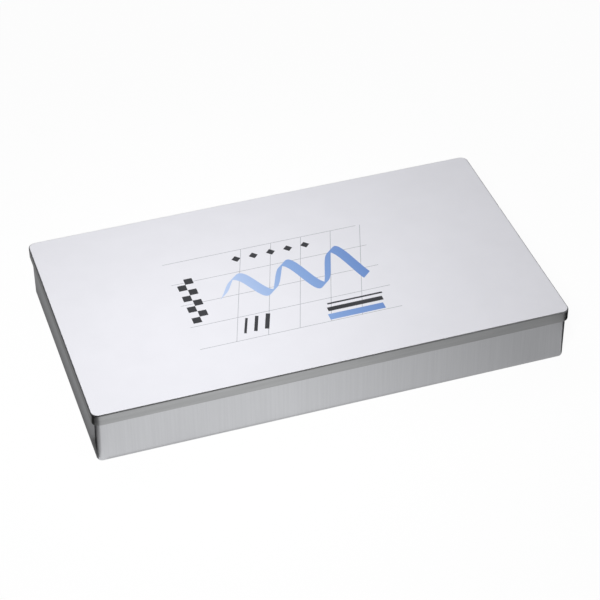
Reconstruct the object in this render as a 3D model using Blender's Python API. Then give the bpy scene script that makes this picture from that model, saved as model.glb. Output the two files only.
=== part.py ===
"""Calligraphy set box: a slip-lid tin with a foam insert, a cartridge pen, spare nibs and cartridges.

Metres, +Z up.  The origin is the centre of the face that the tin stands on, +X runs along its length
and -Y is its front.  The pen and everything packed beside it lie along X, with the pen's cap at +X.
"""
import math

import bmesh
import bpy

# Clearances
GAP = 0.0003              # between any two pieces that touch or slide
CUT_OVERRUN = 0.0010      # how far a cutter stands past the faces that it cuts
MERGE_DISTANCE = 0.000001

# Facets
CORNER_STEPS = 5
TURN_STEPS = 20
SMALL_TURN_STEPS = 16
ROLL_STEPS = 7
EDGE_STEPS = 3
SMOOTH_ANGLE = math.radians(38)

# Lid of the tin, outside sizes
LID_LENGTH = 0.2100
LID_WIDTH = 0.1210
BOX_HEIGHT = 0.0260       # closed box, standing face to lid
LID_CORNER = 0.0034
LID_EDGE = 0.0009
SKIRT_DEPTH = 0.0054
SHEET = 0.0003            # tinplate
HEM_ROLL = 0.00075        # skirt's edge, rolled inwards

# Base of the tin
RIM_ROLL = 0.0009         # base's edge, rolled inwards
FOOT_EDGE = 0.0010
STANDING_BORDER = 0.0060
PANEL_CORNER = 0.0040
PANEL_RISE = 0.0004       # floor panel above the standing border

# Foam insert
FOAM_CORNER = 0.0030
FOAM_DEPTH = 0.0120       # cut-out layer
END_WALL = 0.0101         # foam left past each end of the pen's slot
FRONT_WALL = 0.0080       # foam left in front of the pen's finger notch
TAIL_ROOM = 0.0040
CROWN_ROOM = 0.0090
HEADROOM = 0.0030         # from the clip to the lid
POCKET_PLAY = 0.0005
POCKET_CORNER = 0.0008
PEN_NOTCH_RADIUS = 0.0140
NIB_NOTCH_RADIUS = 0.0095
CARTRIDGE_NOTCH_RADIUS = 0.0100

# Ink cartridge
CARTRIDGE_COUNT = 5
CARTRIDGE_RADIUS = 0.0035
CARTRIDGE_BODY = 0.0420
CARTRIDGE_SHOULDER = 0.0012
CARTRIDGE_NECK_RADIUS = 0.0026
CARTRIDGE_NECK = 0.0050
CARTRIDGE_MOUTH_RADIUS = 0.0017
CARTRIDGE_MOUTH_DEPTH = 0.0040

# Grip section
NECK_RADIUS = 0.00405     # threaded neck that the barrel screws on to
NECK_LENGTH = 0.0090
GRIP_LENGTH = 0.0320
GRIP_SHOULDER_RADIUS = 0.0055
GRIP_WAIST_RADIUS = 0.0047
GRIP_LIP_RADIUS = 0.0051
GRIP_LIP = 0.0012
GRIP_WAIST_SHARE = 0.67   # of the way from the shoulder to the lip
FEED_BORE_RADIUS = 0.0030
FEED_BORE_DEPTH = 0.0246

# Ink feed
STEM_RADIUS = 0.0012
STEM_REACH = 0.0015       # into the cartridge's mouth
FEED_FRONT_RADIUS = 0.0024
FEED_COLLAR = 0.0024      # plain length that the nib holds
FIN_COUNT = 5
FIN_PITCH = 0.0014
FIN_DEPTH = 0.0005
FEED_NOSE = 0.0064
FEED_TIP_RADIUS = 0.0006

# Nibs
NIB_LENGTH = 0.0191
NIB_SHEET = 0.0003
NIB_HEEL_ANGLE = math.radians(120)      # half of the arc that wraps the feed
NIB_SHOULDER_ANGLE = math.radians(75)
NIB_SHOULDER_SHARE = 0.48
NIB_FLATTENING_SHARE = 0.9
NIB_TIP_HEIGHT = 0.0005
NIB_SLOPE_POWER = 1.5     # how late the crown line bends down to the tip
NIB_ROWS = 10
NIB_COLUMNS = 8
SLIT_WIDTH = 0.0002
BREATHER_RADIUS = 0.0006
BREATHER_PLACE = 0.0098   # from the heel
NARROW_TIP = 0.0011
MEDIUM_TIP = 0.0015
BROAD_TIP = 0.0019

# Barrel and trim ring
BARREL_RADIUS = 0.0060
BARREL_TAIL_RADIUS = 0.0042
BARREL_TAIL_ROUND = 0.0015
BARREL_MOUTH_ROUND = 0.0003
BARREL_TAIL_WALL = 0.0012
BARREL_END_WALL = 0.0015
RING_LENGTH = 0.0020
RING_RADIUS = 0.0064
RING_ROUND = 0.0003

# Cap, inner cap, finial and clip
CAP_RADIUS = 0.0067
CAP_CROWN_RADIUS = 0.0064
CAP_WALL = 0.0009
CAP_END_WALL = 0.0020
CAP_ROUND = 0.0004
NIB_ROOM = 0.0071         # from the nib's tip to the inner cap's end
INNER_CAP_WALL = 0.0011
INNER_CAP_END = 0.0012
FINIAL_RADIUS = 0.0052
FINIAL_HEIGHT = 0.0018
FINIAL_ROUND = 0.0010
FINIAL_STEM_RADIUS = 0.0027
CLIP_SHEET = 0.0006
CLIP_WIDTH = 0.0032
CLIP_LENGTH = 0.0400
CLIP_REACH = 0.0020       # outer face of the clip above the cap
CLIP_WASHER_RADIUS = 0.0050
CLIP_FOOT = 0.0015

# Places in the tin, from the sizes above
base_inset = HEM_ROLL + GAP
base_length = LID_LENGTH - 2 * base_inset
base_width = LID_WIDTH - 2 * base_inset
base_corner = LID_CORNER - base_inset
lid_underside = BOX_HEIGHT - SHEET
rim_top = lid_underside - GAP
floor_top = PANEL_RISE + SHEET
insert_length = base_length - 2 * (RIM_ROLL + GAP)
insert_width = base_width - 2 * (RIM_ROLL + GAP)
pen_z = lid_underside - HEADROOM - CLIP_REACH - CAP_RADIUS
pad_bottom = floor_top + GAP
pad_top = pen_z - CAP_RADIUS - GAP
insert_bottom = pad_top + GAP
insert_top = insert_bottom + FOAM_DEPTH

# Stations along the pen, from the barrel's mouth towards the cap's crown
ring_start = GAP
ring_end = ring_start + RING_LENGTH
grip_start = ring_end + GAP
grip_end = grip_start + GRIP_LENGTH
feed_bore_end = grip_end - FEED_BORE_DEPTH
nib_start = grip_end + GAP
cartridge_front = -NECK_LENGTH - GAP
cartridge_mouth = cartridge_front + CARTRIDGE_NECK
cap_mouth = ring_end + GAP
cap_bore_end = nib_start + NIB_LENGTH + NIB_ROOM + INNER_CAP_END + GAP
cap_end = cap_bore_end + CAP_END_WALL
clip_start = cap_end + GAP
clip_end = clip_start + CLIP_SHEET
finial_start = clip_end + GAP
crown = finial_start + FINIAL_HEIGHT

# Radii that are shared between pieces of the pen
ring_bore = NECK_RADIUS + GAP
cap_bore = CAP_RADIUS - CAP_WALL
inner_cap_radius = cap_bore - GAP
finial_hole = FINIAL_STEM_RADIUS + GAP
feed_radius = FEED_BORE_RADIUS - GAP
nib_radius = FEED_FRONT_RADIUS + GAP + NIB_SHEET / 2
nib_outer_radius = nib_radius + NIB_SHEET / 2

# The pen's slot and its row in the foam
slot_length = insert_length - 2 * END_WALL
slot_width = 2 * (CAP_RADIUS + GAP)
barrel_length = slot_length - TAIL_ROOM - CROWN_ROOM - crown
pen_x = slot_length / 2 - CROWN_ROOM - crown
pen_y = -insert_width / 2 + FRONT_WALL + PEN_NOTCH_RADIUS
pen_notch_x = pen_x - barrel_length / 2
back_row_y = (pen_y + PEN_NOTCH_RADIUS + insert_width / 2) / 2

# The back row's pockets, with the same foam left between them
cartridge_length = CARTRIDGE_BODY + CARTRIDGE_NECK
cartridge_pitch = 2 * CARTRIDGE_RADIUS + GAP
cartridge_pocket_length = cartridge_length + 2 * POCKET_PLAY
cartridge_pocket_width = CARTRIDGE_COUNT * cartridge_pitch + GAP
nib_pocket_length = NIB_LENGTH + 2 * POCKET_PLAY
nib_pocket_width = 2 * (nib_outer_radius + GAP)
nib_place_length = max(nib_pocket_length, 2 * NIB_NOTCH_RADIUS)
cartridge_place_length = cartridge_pocket_length + CARTRIDGE_NOTCH_RADIUS
back_row_wall = (insert_length - 2 * nib_place_length - cartridge_place_length) / 4
narrow_nib_x = -insert_length / 2 + back_row_wall + nib_place_length / 2
broad_nib_x = narrow_nib_x + nib_place_length + back_row_wall
cartridge_pocket_x = insert_length / 2 - back_row_wall - CARTRIDGE_NOTCH_RADIUS - cartridge_pocket_length / 2


def finish(name, colour, roughness, metallic=0.0):
    """Principled material with the piece's base colour."""
    material = bpy.data.materials.new(name)
    material.use_nodes = True
    shader = material.node_tree.nodes["Principled BSDF"]
    shader.inputs["Base Color"].default_value = (*colour, 1.0)
    shader.inputs["Roughness"].default_value = roughness
    shader.inputs["Metallic"].default_value = metallic
    return material


def add_object(name, body, material=None, location=(0, 0, 0), parent=None):
    """Turns a bmesh into a named, smooth-shaded object and places it."""
    bmesh.ops.remove_doubles(body, verts=body.verts[:], dist=MERGE_DISTANCE)
    bmesh.ops.recalc_face_normals(body, faces=body.faces[:])
    mesh = bpy.data.meshes.new(name)
    body.to_mesh(mesh)
    body.free()
    mesh.shade_smooth()
    mesh.set_sharp_from_angle(angle=SMOOTH_ANGLE)
    if material:
        mesh.materials.append(material)
    piece = bpy.data.objects.new(name, mesh)
    piece.location = location
    piece.parent = parent
    bpy.context.scene.collection.objects.link(piece)
    return piece


def add_empty(name, location, parent=None):
    """Reference point that a group of pieces hangs from."""
    empty = bpy.data.objects.new(name, None)
    empty.location = location
    empty.parent = parent
    bpy.context.scene.collection.objects.link(empty)
    return empty


def cut(piece, name, body, location, parent=None):
    """Cuts a body out of a piece; the cutter stays in the scene as a wire guide."""
    cutter = add_object(name, body, None, location, parent)
    cutter.hide_render = True
    cutter.display_type = "WIRE"
    boolean = piece.modifiers.new(name, "BOOLEAN")
    boolean.operation = "DIFFERENCE"
    boolean.solver = "EXACT"
    boolean.object = cutter


def rounded_outline(length, width, radius):
    """Points of a rectangle with round corners, anticlockwise."""
    points = []
    for quarter in range(4):
        x_side = 1 if quarter in (0, 3) else -1
        y_side = 1 if quarter in (0, 1) else -1
        x = x_side * (length / 2 - radius)
        y = y_side * (width / 2 - radius)
        for step in range(CORNER_STEPS + 1):
            angle = math.pi / 2 * (quarter + step / CORNER_STEPS)
            points.append((x + radius * math.cos(angle), y + radius * math.sin(angle)))
    return points


def lofted(rings):
    """Closed body through rounded outlines, each (length, width, corner radius, z), with flat ends."""
    body = bmesh.new()
    loops = []
    for length, width, radius, z in rings:
        loops.append([body.verts.new((x, y, z)) for x, y in rounded_outline(length, width, radius)])
    for loop, next_loop in zip(loops, loops[1:]):
        for corner in range(len(loop)):
            body.faces.new((loop[corner - 1], loop[corner], next_loop[corner], next_loop[corner - 1]))
    body.faces.new(loops[0])
    body.faces.new(loops[-1])
    return body


def prism(length, width, radius, bottom, top):
    """Upright block with round corners."""
    return lofted([(length, width, radius, bottom), (length, width, radius, top)])


def cylinder(radius, bottom, top):
    """Upright cylinder, for finger notches."""
    body = bmesh.new()
    ring = bmesh.ops.create_circle(body, radius=radius, segments=2 * TURN_STEPS)["verts"]
    bmesh.ops.translate(body, verts=ring, vec=(0, 0, bottom))
    disc = bmesh.ops.edgeloop_fill(body, edges=body.edges[:])["faces"]
    wall = bmesh.ops.extrude_face_region(body, geom=disc, use_keep_orig=True)["geom"]
    raised = [item for item in wall if isinstance(item, bmesh.types.BMVert)]
    bmesh.ops.translate(body, verts=raised, vec=(0, 0, top - bottom))
    return body


def turned(outline, steps=TURN_STEPS):
    """Body of revolution about X from (place along X, radius) points.

    An outline that starts on the axis ends on it too; any other outline closes on itself round a bore.
    """
    body = bmesh.new()
    points = [body.verts.new((x, 0, radius)) for x, radius in outline]
    edges = [body.edges.new(pair) for pair in zip(points, points[1:])]
    if outline[0][1] > 0:
        edges.append(body.edges.new((points[-1], points[0])))
    bmesh.ops.spin(body, geom=points + edges, cent=(0, 0, 0), axis=(1, 0, 0), angle=math.tau, steps=steps)
    return body


def extruded(outline, width):
    """Plate from (x, z) points, with the given width along Y about the middle plane."""
    body = bmesh.new()
    face = body.faces.new([body.verts.new((x, -width / 2, z)) for x, z in outline])
    side = bmesh.ops.extrude_face_region(body, geom=[face], use_keep_orig=True)["geom"]
    moved = [item for item in side if isinstance(item, bmesh.types.BMVert)]
    bmesh.ops.translate(body, verts=moved, vec=(0, width, 0))
    return body


def arc(centre_x, centre_y, radius, start, end, steps):
    """Points on an arc between two angles in degrees, both ends included."""
    angles = [math.radians(start + (end - start) * step / steps) for step in range(steps + 1)]
    return [(centre_x + radius * math.cos(a), centre_y + radius * math.sin(a)) for a in angles]


def rolled_edge(roll, tip, turn):
    """Section of a sheet edge rolled inwards, as (inset, z) from the outer wall to the inner wall.

    The tip is the height that the roll reaches, and turn is 1 for an edge at the top, -1 at the bottom.
    """
    radius = roll / 2
    join = 360 - math.degrees(math.acos((radius - SHEET) / radius))
    points = []
    for step in range(ROLL_STEPS + 1):
        angle = math.radians(join * step / ROLL_STEPS)
        points.append((radius - radius * math.cos(angle), tip + turn * radius * (math.sin(angle) - 1)))
    return points


def sheet_rings(length, width, corner, section):
    """Rings of a drawn tin wall from (inset, z) points of its section."""
    return [(length - 2 * inset, width - 2 * inset, corner - inset, z) for inset, z in section]


def build_tin_base(material):
    """Drawn tray with a rolled rim and a floor panel raised inside a standing border."""
    border = [base_length - 2 * STANDING_BORDER, base_width - 2 * STANDING_BORDER]
    panel = [size - 2 * PANEL_RISE for size in border]
    outer = arc(FOOT_EDGE, FOOT_EDGE, FOOT_EDGE, 270, 180, EDGE_STEPS)
    inner = arc(FOOT_EDGE, FOOT_EDGE, FOOT_EDGE - SHEET, 180, 270, EDGE_STEPS)
    rings = [(*panel, PANEL_CORNER, PANEL_RISE), (*border, PANEL_CORNER, 0)]
    rings += sheet_rings(base_length, base_width, base_corner, outer)
    rings += sheet_rings(base_length, base_width, base_corner, rolled_edge(RIM_ROLL, rim_top, 1))
    rings += sheet_rings(base_length, base_width, base_corner, inner)
    rings += [(*border, PANEL_CORNER, SHEET), (*panel, PANEL_CORNER, floor_top)]
    return add_object("tin_base", lofted(rings), material)


def build_tin_lid(material):
    """Drawn slip lid with a hemmed skirt."""
    edge_z = BOX_HEIGHT - LID_EDGE
    outer = arc(LID_EDGE, edge_z, LID_EDGE, 90, 180, EDGE_STEPS)
    inner = arc(LID_EDGE, edge_z, LID_EDGE - SHEET, 180, 90, EDGE_STEPS)
    section = outer + rolled_edge(HEM_ROLL, BOX_HEIGHT - SKIRT_DEPTH, -1) + inner
    return add_object("tin_lid", lofted(sheet_rings(LID_LENGTH, LID_WIDTH, LID_CORNER, section)), material)


def build_foam(material):
    """Plain pad on the tin's floor, and the layer above it with every pocket cut right through."""
    size = (insert_length, insert_width, FOAM_CORNER)
    add_object("foam_pad", prism(*size, pad_bottom, pad_top), material)
    insert = add_object("foam_insert", prism(*size, insert_bottom, insert_top), material)
    span = (insert_bottom - CUT_OVERRUN, insert_top + CUT_OVERRUN)

    cut(insert, "pen_slot", prism(slot_length, slot_width, slot_width / 2, *span), (0, pen_y, 0))
    cut(insert, "pen_notch", cylinder(PEN_NOTCH_RADIUS, *span), (pen_notch_x, pen_y, 0))

    for width, x in (("narrow", narrow_nib_x), ("broad", broad_nib_x)):
        pocket = prism(nib_pocket_length, nib_pocket_width, POCKET_CORNER, *span)
        cut(insert, f"{width}_nib_pocket", pocket, (x, back_row_y, 0))
        cut(insert, f"{width}_nib_notch", cylinder(NIB_NOTCH_RADIUS, *span), (x, back_row_y, 0))

    pocket = prism(cartridge_pocket_length, cartridge_pocket_width, POCKET_CORNER, *span)
    cut(insert, "cartridge_pocket", pocket, (cartridge_pocket_x, back_row_y, 0))
    notch_x = cartridge_pocket_x + cartridge_pocket_length / 2
    cut(insert, "cartridge_notch", cylinder(CARTRIDGE_NOTCH_RADIUS, *span), (notch_x, back_row_y, 0))


def cartridge_body(pierced):
    """Moulded ink cartridge: its origin is on its axis at the shoulder, with the neck towards +X.

    A spare's neck is still sealed, and the fitted one's is pierced.
    """
    outline = [
        (-CARTRIDGE_BODY, 0),
        (-CARTRIDGE_BODY, CARTRIDGE_RADIUS - CARTRIDGE_SHOULDER / 2),
        (-CARTRIDGE_BODY + CARTRIDGE_SHOULDER / 2, CARTRIDGE_RADIUS),
        (-CARTRIDGE_SHOULDER, CARTRIDGE_RADIUS),
        (0, CARTRIDGE_NECK_RADIUS),
        (CARTRIDGE_NECK, CARTRIDGE_NECK_RADIUS),
    ]
    if pierced:
        mouth_end = CARTRIDGE_NECK - CARTRIDGE_MOUTH_DEPTH
        outline += [(CARTRIDGE_NECK, CARTRIDGE_MOUTH_RADIUS), (mouth_end, CARTRIDGE_MOUTH_RADIUS)]
        outline.append((mouth_end, 0))
    else:
        outline.append((CARTRIDGE_NECK, 0))
    return turned(outline, SMALL_TURN_STEPS)


def build_spare_cartridges(material):
    """Row of spare cartridges, side by side in their pocket."""
    x = cartridge_pocket_x + cartridge_pocket_length / 2 - POCKET_PLAY - CARTRIDGE_NECK
    z = pad_top + GAP + CARTRIDGE_RADIUS
    for number in range(1, CARTRIDGE_COUNT + 1):
        y = back_row_y + (number - (CARTRIDGE_COUNT + 1) / 2) * cartridge_pitch
        add_object(f"spare_cartridge_{number}", cartridge_body(False), material, (x, y, z))


def slit_and_breather():
    """Cutter for a nib's slit and breather hole: one outline, extruded upwards."""
    half_slit = SLIT_WIDTH / 2
    opening = math.degrees(math.asin(half_slit / BREATHER_RADIUS))
    hole = arc(BREATHER_PLACE, 0, BREATHER_RADIUS, opening, 360 - opening, SMALL_TURN_STEPS)
    tip = NIB_LENGTH + CUT_OVERRUN
    body = bmesh.new()
    outline = hole + [(tip, -half_slit), (tip, half_slit)]
    face = body.faces.new([body.verts.new((x, y, 0)) for x, y in outline])
    raised = bmesh.ops.extrude_face_region(body, geom=[face], use_keep_orig=True)["geom"]
    moved = [item for item in raised if isinstance(item, bmesh.types.BMVert)]
    bmesh.ops.translate(body, verts=moved, vec=(0, 0, nib_outer_radius + CUT_OVERRUN))
    return body


def build_nib(name, tip_width, material, location, parent=None):
    """Broad-edged nib rolled from sheet: its heel wraps the feed, and its tines flatten to the tip.

    The sheet starts as a unit grid.  Rows run from heel to tip, and each row becomes an arc whose
    angle, radius and crown height follow the share of the way to the tip.
    """
    body = bmesh.new()
    grid = bmesh.ops.create_grid(body, x_segments=NIB_ROWS, y_segments=NIB_COLUMNS, size=1)["verts"]
    for vert in grid:
        row = (vert.co.x + 1) / 2
        across = vert.co.y
        body_share = min(row / NIB_SHOULDER_SHARE, 1)
        tine_share = max(row - NIB_SHOULDER_SHARE, 0) / (1 - NIB_SHOULDER_SHARE)
        angle = NIB_HEEL_ANGLE + (NIB_SHOULDER_ANGLE - NIB_HEEL_ANGLE) * body_share
        half_arc = nib_radius * angle * (1 - tine_share) + tip_width / 2 * tine_share
        radius = nib_radius / (1 - NIB_FLATTENING_SHARE * tine_share)
        crown_height = nib_radius - (nib_radius - NIB_TIP_HEIGHT) * tine_share ** NIB_SLOPE_POWER
        turn = across * half_arc / radius
        vert.co = (row * NIB_LENGTH, radius * math.sin(turn), crown_height - radius * (1 - math.cos(turn)))
    nib = add_object(name, body, material, location, parent)
    thickness = nib.modifiers.new("sheet", "SOLIDIFY")
    thickness.thickness = NIB_SHEET
    thickness.offset = 0
    cut(nib, f"{name}_slit", slit_and_breather(), (0, 0, 0), nib)
    return nib


def build_spare_nibs(material):
    """Two spare nibs, each in its own pocket, resting on the edges of their heels."""
    z = pad_top + GAP - nib_outer_radius * math.cos(NIB_HEEL_ANGLE)
    build_nib("narrow_nib", NARROW_TIP, material, (narrow_nib_x - NIB_LENGTH / 2, back_row_y, z))
    build_nib("broad_nib", BROAD_TIP, material, (broad_nib_x - NIB_LENGTH / 2, back_row_y, z))


def build_barrel(material, pen):
    """Tapered barrel: its bore takes the threaded neck, then the cartridge, and narrows to the tail."""
    neck_bore_end = -NECK_LENGTH - GAP
    cartridge_end = cartridge_front - CARTRIDGE_BODY
    cartridge_bore = CARTRIDGE_RADIUS + GAP
    tail_bore = BARREL_TAIL_RADIUS - BARREL_TAIL_WALL
    bore_end = BARREL_END_WALL - barrel_length
    tail_centre = (BARREL_TAIL_ROUND - barrel_length, BARREL_TAIL_RADIUS - BARREL_TAIL_ROUND)
    outline = [(-barrel_length, 0)]
    outline += arc(*tail_centre, BARREL_TAIL_ROUND, 180, 90, EDGE_STEPS)
    outline += [
        (-BARREL_MOUTH_ROUND, BARREL_RADIUS),
        (0, BARREL_RADIUS - BARREL_MOUTH_ROUND),
        (0, ring_bore),
        (neck_bore_end, ring_bore),
        (neck_bore_end, cartridge_bore),
        (cartridge_end, cartridge_bore),
        (bore_end, tail_bore),
        (bore_end, 0),
    ]
    add_object("pen_barrel", turned(outline), material, parent=pen)


def build_trim_ring(material, pen):
    """Loose metal ring between the barrel and the grip."""
    outline = [
        (ring_start, ring_bore),
        (ring_start, RING_RADIUS - RING_ROUND),
        (ring_start + RING_ROUND, RING_RADIUS),
        (ring_end - RING_ROUND, RING_RADIUS),
        (ring_end, RING_RADIUS - RING_ROUND),
        (ring_end, ring_bore),
    ]
    add_object("trim_ring", turned(outline), material, parent=pen)


def build_grip_section(material, pen):
    """Waisted grip with a threaded neck, a cartridge socket behind and the feed's bore in front."""
    lip_start = grip_end - GRIP_LIP
    waist = grip_start + (lip_start - grip_start) * GRIP_WAIST_SHARE
    half_way = (grip_start + waist) / 2
    socket = CARTRIDGE_NECK_RADIUS + GAP
    stem_bore = STEM_RADIUS + GAP
    outline = [
        (-NECK_LENGTH, socket),
        (-NECK_LENGTH, NECK_RADIUS),
        (grip_start, NECK_RADIUS),
        (grip_start, GRIP_SHOULDER_RADIUS),
        (half_way, (GRIP_SHOULDER_RADIUS + GRIP_WAIST_RADIUS) / 2),
        (waist, GRIP_WAIST_RADIUS),
        (lip_start, GRIP_LIP_RADIUS),
        (grip_end, GRIP_LIP_RADIUS),
        (grip_end, FEED_BORE_RADIUS),
        (feed_bore_end, FEED_BORE_RADIUS),
        (feed_bore_end, stem_bore),
        (cartridge_mouth + GAP, stem_bore),
        (cartridge_mouth + GAP, socket),
    ]
    add_object("grip_section", turned(outline), material, parent=pen)


def build_feed(material, pen):
    """Ink feed: a stem that enters the cartridge, a plain body, fins under the nib and a tapered nose."""
    stem_tip = cartridge_mouth - STEM_REACH
    body_start = feed_bore_end + GAP
    fins_start = grip_end + FEED_COLLAR
    fins_end = fins_start + FIN_COUNT * FIN_PITCH
    outline = [
        (stem_tip, 0),
        (stem_tip, STEM_RADIUS),
        (body_start, STEM_RADIUS),
        (body_start, feed_radius),
        (grip_end, feed_radius),
        (grip_end, FEED_FRONT_RADIUS),
    ]
    for fin in range(FIN_COUNT):
        groove_start = fins_start + fin * FIN_PITCH
        groove_end = groove_start + FIN_PITCH / 2
        outline += [(groove_start, FEED_FRONT_RADIUS), (groove_start, FEED_FRONT_RADIUS - FIN_DEPTH)]
        outline += [(groove_end, FEED_FRONT_RADIUS - FIN_DEPTH), (groove_end, FEED_FRONT_RADIUS)]
    outline += [
        (fins_end, FEED_FRONT_RADIUS),
        (fins_end + FEED_NOSE, FEED_TIP_RADIUS),
        (fins_end + FEED_NOSE, 0),
    ]
    add_object("ink_feed", turned(outline, SMALL_TURN_STEPS), material, parent=pen)


def build_cap(material, pen):
    """Push-on cap with a hole in its crown for the finial's stem."""
    outline = [
        (cap_mouth, cap_bore),
        (cap_mouth, CAP_RADIUS - CAP_ROUND),
        (cap_mouth + CAP_ROUND, CAP_RADIUS),
        (cap_end - CAP_ROUND, CAP_CROWN_RADIUS),
        (cap_end, CAP_CROWN_RADIUS - CAP_ROUND),
        (cap_end, finial_hole),
        (cap_bore_end, finial_hole),
        (cap_bore_end, cap_bore),
    ]
    add_object("pen_cap", turned(outline), material, parent=pen)


def build_inner_cap(material, pen):
    """Liner that closes on the grip's lip, so that the nib does not dry."""
    bore = inner_cap_radius - INNER_CAP_WALL
    start = grip_end + GAP
    end = cap_bore_end - GAP
    outline = [
        (end, 0),
        (end, inner_cap_radius),
        (start, inner_cap_radius),
        (start, bore),
        (end - INNER_CAP_END, bore),
        (end - INNER_CAP_END, 0),
    ]
    add_object("inner_cap", turned(outline), material, parent=pen)


def build_finial(material, pen):
    """Domed button whose stem passes through the clip's washer and the cap's crown."""
    outline = [
        (cap_bore_end, 0),
        (cap_bore_end, FINIAL_STEM_RADIUS),
        (finial_start, FINIAL_STEM_RADIUS),
        (finial_start, FINIAL_RADIUS),
    ]
    outline += arc(crown - FINIAL_ROUND, FINIAL_RADIUS - FINIAL_ROUND, FINIAL_ROUND, 90, 0, EDGE_STEPS)
    outline.append((crown, 0))
    add_object("cap_finial", turned(outline), material, parent=pen)


def build_clip(material, pen):
    """Sprung clip: a washer under the finial, and an arm along the cap that ends in a foot."""
    top = CAP_RADIUS + CLIP_REACH
    underside = top - CLIP_SHEET
    foot_level = CAP_RADIUS + GAP
    tip = clip_end - CLIP_LENGTH
    root = CLIP_WASHER_RADIUS - CLIP_SHEET
    arm = [
        (clip_end, root),
        (clip_end, underside),
        (clip_start, top),
        (tip + CLIP_FOOT, top),
        (tip, underside),
        (tip + CLIP_FOOT / 2, foot_level),
        (tip + CLIP_FOOT, foot_level),
        (tip + 2 * CLIP_FOOT, underside),
        (clip_start, underside),
        (clip_start, root),
    ]
    clip = add_object("pocket_clip", extruded(arm, CLIP_WIDTH), material, parent=pen)
    washer_outline = [
        (clip_start, finial_hole),
        (clip_start, CLIP_WASHER_RADIUS),
        (clip_end, CLIP_WASHER_RADIUS),
        (clip_end, finial_hole),
    ]
    washer = add_object("clip_washer", turned(washer_outline), None, parent=pen)
    washer.hide_render = True
    washer.display_type = "WIRE"
    joined = clip.modifiers.new("washer", "BOOLEAN")
    joined.operation = "UNION"
    joined.solver = "EXACT"
    joined.object = washer


def build():
    """Clears the scene and builds the whole set."""
    for item in list(bpy.data.objects):
        bpy.data.objects.remove(item, do_unlink=True)

    tinplate = finish("brushed_tinplate", (0.50, 0.51, 0.52), 0.35, 1.0)
    lacquer = finish("pale_lacquer", (0.80, 0.80, 0.84), 0.30)
    foam = finish("charcoal_foam", (0.035, 0.035, 0.04), 0.95)
    black_plastic = finish("black_plastic", (0.015, 0.016, 0.018), 0.30)
    grip_plastic = finish("soft_black_plastic", (0.020, 0.020, 0.022), 0.55)
    feed_plastic = finish("feed_plastic", (0.012, 0.012, 0.014), 0.45)
    liner_plastic = finish("natural_plastic", (0.60, 0.60, 0.58), 0.45)
    steel = finish("polished_steel", (0.62, 0.62, 0.63), 0.18, 1.0)
    ink_plastic = finish("blue_cartridge", (0.03, 0.10, 0.45), 0.25)

    build_tin_base(tinplate)
    build_tin_lid(lacquer)
    build_foam(foam)
    build_spare_cartridges(ink_plastic)
    build_spare_nibs(steel)

    pen = add_empty("pen_axis", (pen_x, pen_y, pen_z))
    build_barrel(black_plastic, pen)
    build_trim_ring(steel, pen)
    build_grip_section(grip_plastic, pen)
    build_feed(feed_plastic, pen)
    build_nib("medium_nib", MEDIUM_TIP, steel, (nib_start, 0, 0), pen)
    add_object("fitted_cartridge", cartridge_body(True), ink_plastic, (cartridge_front, 0, 0), pen)
    build_cap(black_plastic, pen)
    build_inner_cap(liner_plastic, pen)
    build_finial(steel, pen)
    build_clip(steel, pen)


build()
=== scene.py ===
"""Calligraphy set box: a slip-lid tin with a cartridge pen, spare nibs and cartridges in cut foam.

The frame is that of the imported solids: +X along the tin, -Y its front, +Z up, standing on z = 0.
Shapes are worked out in millimetres and put into the meshes in metres.
"""
import math

import bmesh
import bpy
import numpy as np
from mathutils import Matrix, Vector
from mathutils.geometry import delaunay_2d_cdt


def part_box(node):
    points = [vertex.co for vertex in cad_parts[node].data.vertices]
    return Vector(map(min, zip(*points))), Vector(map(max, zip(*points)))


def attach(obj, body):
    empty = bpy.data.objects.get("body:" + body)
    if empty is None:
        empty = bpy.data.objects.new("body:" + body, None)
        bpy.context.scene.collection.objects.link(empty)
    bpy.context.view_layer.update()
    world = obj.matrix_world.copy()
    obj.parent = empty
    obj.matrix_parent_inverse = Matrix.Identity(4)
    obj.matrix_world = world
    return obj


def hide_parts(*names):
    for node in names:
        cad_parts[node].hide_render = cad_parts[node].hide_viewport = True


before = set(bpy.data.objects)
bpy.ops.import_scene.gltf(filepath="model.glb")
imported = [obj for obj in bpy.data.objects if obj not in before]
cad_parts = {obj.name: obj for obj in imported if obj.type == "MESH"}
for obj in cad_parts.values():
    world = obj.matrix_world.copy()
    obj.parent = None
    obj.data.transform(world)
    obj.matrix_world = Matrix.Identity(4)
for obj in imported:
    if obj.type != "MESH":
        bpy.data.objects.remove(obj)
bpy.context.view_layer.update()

# Tin base: one piece of tin-plated steel sheet, brushed upright and drawn into a tray.  Its rim is
# rolled inwards, and its floor panel is raised inside the border that the tin stands on.
SHEET = 0.3
RIM_ROLL = 0.9
FOOT_EDGE = 1.0
STANDING_BORDER = 6.0
PANEL_RISE = 0.4
PANEL_START = 1.0
PANEL_CORNER = 4.0
PANEL_EASING = 0.5
BASE_CORNER = 2.35
EDGE_MARGIN = 0.25
MERGE_METRES = 2e-7
TIN_GREYS = ("#C8C9CC", "#CFD0D3")


def box_mm(node):
    """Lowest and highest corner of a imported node, in millimetres."""
    return np.array([corner[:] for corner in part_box(node)]) * 1000


def arc(centre, radius, start, end, steps):
    """Points of an arc: the centre plus the radius times (cosine, sine) of evenly spaced degrees."""
    angles = np.radians(np.linspace(start, end, steps + 1))
    return np.asarray(centre) + radius * np.stack([np.cos(angles), np.sin(angles)], 1)


def neighbours(points, closed):
    """The points before and after each point of a line; the ends of an open line repeat."""
    if closed:
        return np.roll(points, 1, 0), np.roll(points, -1, 0)
    return np.vstack([points[:1], points[:-1]]), np.vstack([points[1:], points[-1:]])


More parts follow.
